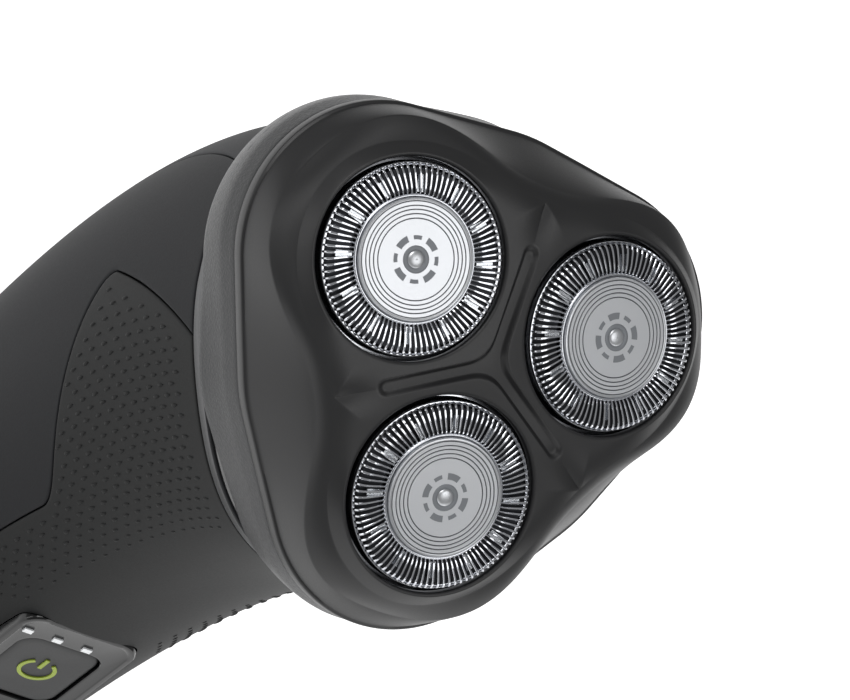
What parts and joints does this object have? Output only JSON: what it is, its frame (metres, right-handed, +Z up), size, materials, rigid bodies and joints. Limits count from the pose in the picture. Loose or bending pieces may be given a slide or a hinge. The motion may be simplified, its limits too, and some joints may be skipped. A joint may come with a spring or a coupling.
{
  "type": "electric shaver",
  "caption": "Cordless rotary shaver with a curved handle, click-on tilted shaving unit and three floating round guards.",
  "frame": {"origin": "centre of the flat under the handle, which the shaver stands on", "axes": "+Z up along the handle, -Y towards the power button and the side that the shaving face looks to, +X to the right of someone facing the button"},
  "size_m": [0.058, 0.0788, 0.1669],
  "materials": {
    "panel_black": "satin moulded ABS",
    "shell_charcoal": "fine grained ABS",
    "panel_charcoal": "satin moulded ABS",
    "gloss_black": "polished",
    "bezel_black": "satin",
    "button_rubber": "soft touch",
    "indicator_white": "translucent diffuser",
    "board_green": "solder mask",
    "inner_black": "moulded",
    "battery_sleeve": "shrink sleeve",
    "nickel": "nickel plated",
    "inner_grey": "moulded POM blend",
    "zinc_steel": "zinc plated",
    "motor_can": "zinc plated can",
    "lead_red": "PVC",
    "acetal": "natural acetal",
    "seal_rubber": "matt",
    "brass_pins": "bright",
    "collar_grain": "spark-eroded grain",
    "cover_matte": "soft matt coating",
    "knob_orange": "moulded",
    "spring_steel": "drawn wire",
    "guard_steel": "formed stainless",
    "disc_silver": "satin turned",
    "cutter_steel": "ground blades"
  },
  "bodies": {
    "handle": {"front_shell": "panel_black", "rear_shell": "shell_charcoal", "side_panel_left": "panel_charcoal", "side_panel_right": "panel_charcoal", "neck_band": "shell_charcoal", "neck_ring": "gloss_black", "base_cap": "panel_black", "base_screws": "zinc_steel", "button_bezel": "bezel_black", "indicator_windows": "indicator_white", "circuit_board": "board_green", "tact_switch": "inner_black", "battery": "battery_sleeve", "battery_contacts": "nickel", "inner_frame": "inner_grey", "frame_screws": "zinc_steel", "motor": "motor_can", "motor_plate": "inner_grey", "motor_screws": "zinc_steel", "motor_leads": "lead_red", "shaft_seal": "seal_rubber", "charging_inlet": "inner_black", "inlet_pins": "brass_pins"},
    "motor_rotor": {"motor_shaft": "nickel", "drive_coupling": "acetal"},
    "button": {"power_button": "button_rubber"},
    "shaving_unit": {"hair_chamber": "collar_grain", "gear_plate": "inner_grey", "gearbox_cover": "inner_grey", "gearbox_screws": "zinc_steel", "spindle_seals": "seal_rubber"},
    "central_drive": {"central_gear": "acetal"},
    "cover_unit": {"head_cover": "cover_matte", "retaining_frame": "inner_grey"},
    "lock": {"lock_knob": "knob_orange"},
    "spindle_drive_left": {"spindle_left": "acetal", "spindle_spring_left": "spring_steel"},
    "tip_left": {"spindle_tip_left": "acetal"},
    "holder_left": {"guard_holder_left": "inner_grey"},
    "guard_body_left": {"guard_left": "guard_steel", "guard_disc_left": "disc_silver"},
    "cutter_body_left": {"cutter_left": "cutter_steel"},
    "spindle_drive_right": {"spindle_right": "acetal", "spindle_spring_right": "spring_steel"},
    "tip_right": {"spindle_tip_right": "acetal"},
    "holder_right": {"guard_holder_right": "inner_grey"},
    "guard_body_right": {"guard_right": "guard_steel", "guard_disc_right": "disc_silver"},
    "cutter_body_right": {"cutter_right": "cutter_steel"},
    "spindle_drive_front": {"spindle_front": "acetal", "spindle_spring_front": "spring_steel"},
    "tip_front": {"spindle_tip_front": "acetal"},
    "holder_front": {"guard_holder_front": "inner_grey"},
    "guard_body_front": {"guard_front": "guard_steel", "guard_disc_front": "disc_silver"},
    "cutter_body_front": {"cutter_front": "cutter_steel"}
  },
  "joints": [
    {"name": "motor_spin", "type": "hinge", "parent": "handle", "child": "motor_rotor", "pos_m": [0, -0.01842, 0.13524], "axis": [0, -0.6428, 0.766], "continuous": true},
    {"name": "button_press", "type": "slide", "parent": "handle", "child": "button", "axis": [0, 0.9967, 0.0812], "range_m": [0, 0.0008], "stiffness_N_per_m": 600, "springref_m": -0.0015},
    {"name": "unit_pull", "type": "slide", "parent": "handle", "child": "shaving_unit", "axis": [0, -0.6428, 0.766], "range_m": [0, 0.025]},
    {"name": "central_spin", "type": "hinge", "parent": "shaving_unit", "child": "central_drive", "pos_m": [0, -0.02311, 0.14083], "axis": [0, -0.6428, 0.766], "continuous": true},
    {"name": "cover_lift", "type": "slide", "parent": "shaving_unit", "child": "cover_unit", "axis": [0, -0.6428, 0.766], "range_m": [0, 0.02]},
    {"name": "lock_turn", "type": "hinge", "parent": "cover_unit", "child": "lock", "pos_m": [0, -0.02968, 0.14867], "axis": [0, -0.6428, 0.766], "range_deg": [0, 60]},
    {"name": "spindle_spin_left", "type": "hinge", "parent": "shaving_unit", "child": "spindle_drive_left", "pos_m": [-0.01253, -0.01757, 0.14548], "axis": [0, -0.6428, 0.766], "continuous": true},
    {"name": "tip_float_left", "type": "slide", "parent": "spindle_drive_left", "child": "tip_left", "axis": [0, 0.6428, -0.766], "range_m": [0, 0.0011]},
    {"name": "guard_tilt_left", "type": "hinge", "parent": "cover_unit", "child": "holder_left", "pos_m": [-0.01263, -0.02679, 0.15656], "axis": [-0.5, -0.6634, -0.5567], "range_deg": [-2, 2], "stiffness_Nm_per_rad": 0.5},
    {"name": "guard_float_left", "type": "slide", "parent": "holder_left", "child": "guard_body_left", "axis": [0.0905, 0.5992, -0.7954], "range_m": [0, 0.001], "stiffness_N_per_m": 400, "springref_m": -0.002},
    {"name": "cutter_spin_left", "type": "hinge", "parent": "guard_body_left", "child": "cutter_body_left", "pos_m": [-0.01242, -0.02542, 0.15473], "axis": [-0.0905, -0.5992, 0.7954], "continuous": true},
    {"name": "spindle_spin_right", "type": "hinge", "parent": "shaving_unit", "child": "spindle_drive_right", "pos_m": [0.01253, -0.01757, 0.14548], "axis": [0, -0.6428, 0.766], "continuous": true},
    {"name": "tip_float_right", "type": "slide", "parent": "spindle_drive_right", "child": "tip_right", "axis": [0, 0.6428, -0.766], "range_m": [0, 0.0011]},
    {"name": "guard_tilt_right", "type": "hinge", "parent": "cover_unit", "child": "holder_right", "pos_m": [0.01263, -0.02679, 0.15656], "axis": [-0.5, 0.6634, 0.5567], "range_deg": [-2, 2], "stiffness_Nm_per_rad": 0.5},
    {"name": "guard_float_right", "type": "slide", "parent": "holder_right", "child": "guard_body_right", "axis": [-0.0905, 0.5992, -0.7954], "range_m": [0, 0.001], "stiffness_N_per_m": 400, "springref_m": -0.002},
    {"name": "cutter_spin_right", "type": "hinge", "parent": "guard_body_right", "child": "cutter_body_right", "pos_m": [0.01242, -0.02542, 0.15473], "axis": [0.0905, -0.5992, 0.7954], "continuous": true},
    {"name": "spindle_spin_front", "type": "hinge", "parent": "shaving_unit", "child": "spindle_drive_front", "pos_m": [0, -0.03419, 0.13153], "axis": [0, -0.6428, 0.766], "continuous": true},
    {"name": "tip_float_front", "type": "slide", "parent": "spindle_drive_front", "child": "tip_front", "axis": [0, 0.6428, -0.766], "range_m": [0, 0.0011]},
    {"name": "guard_tilt_front", "type": "hinge", "parent": "cover_unit", "child": "holder_front", "pos_m": [0, -0.04355, 0.1425], "axis": [1, 0, 0], "range_deg": [-2, 2], "stiffness_Nm_per_rad": 0.5},
    {"name": "guard_float_front", "type": "slide", "parent": "holder_front", "child": "guard_body_front", "axis": [0, 0.7193, -0.6947], "range_m": [0, 0.001], "stiffness_N_per_m": 400, "springref_m": -0.002},
    {"name": "cutter_spin_front", "type": "hinge", "parent": "guard_body_front", "child": "cutter_body_front", "pos_m": [0, -0.0419, 0.14091], "axis": [0, -0.7193, 0.6947], "continuous": true}
  ],
  "couplings": [
    {"joint": "central_spin", "follows": "motor_spin", "ratio": 1},
    {"joint": "spindle_spin_left", "follows": "motor_spin", "ratio": -0.28571},
    {"joint": "cutter_spin_left", "follows": "motor_spin", "ratio": -0.28571},
    {"joint": "tip_float_left", "follows": "guard_float_left", "ratio": 1},
    {"joint": "spindle_spin_right", "follows": "motor_spin", "ratio": -0.28571},
    {"joint": "cutter_spin_right", "follows": "motor_spin", "ratio": -0.28571},
    {"joint": "tip_float_right", "follows": "guard_float_right", "ratio": 1},
    {"joint": "spindle_spin_front", "follows": "motor_spin", "ratio": -0.28571},
    {"joint": "cutter_spin_front", "follows": "motor_spin", "ratio": -0.28571},
    {"joint": "tip_float_front", "follows": "guard_float_front", "ratio": 1}
  ]
}
